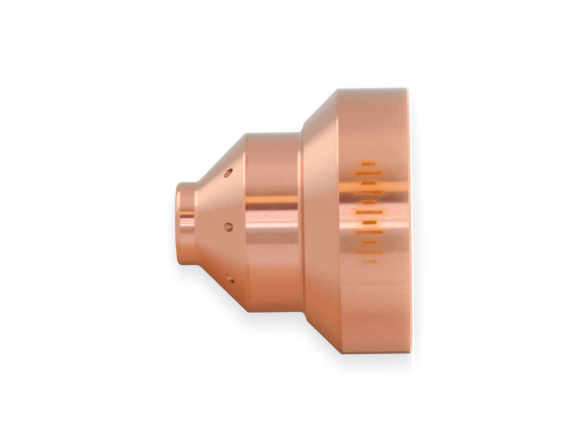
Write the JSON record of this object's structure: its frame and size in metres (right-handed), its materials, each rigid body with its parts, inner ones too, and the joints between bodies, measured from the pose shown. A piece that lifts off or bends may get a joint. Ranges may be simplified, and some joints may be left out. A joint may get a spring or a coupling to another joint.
{
  "type": "plasma torch shield",
  "caption": "Stepped copper shield cap for a machine plasma torch: two cones between cylinders, a ring of small vent holes, a centre orifice and a threaded open rim.",
  "frame": {"origin": "centre of the open rim, in the plane that the shield stands on", "axes": "+Z along the turning axis, from the rim to the orifice; one vent hole lies in the +X half plane"},
  "size_m": [0.03, 0.03, 0.0265],
  "materials": {
    "copper": "satin turned copper, with an amber oxide mark on the large cylinder"
  },
  "bodies": {
    "root": {"shield_body": "copper"}
  },
  "joints": []
}
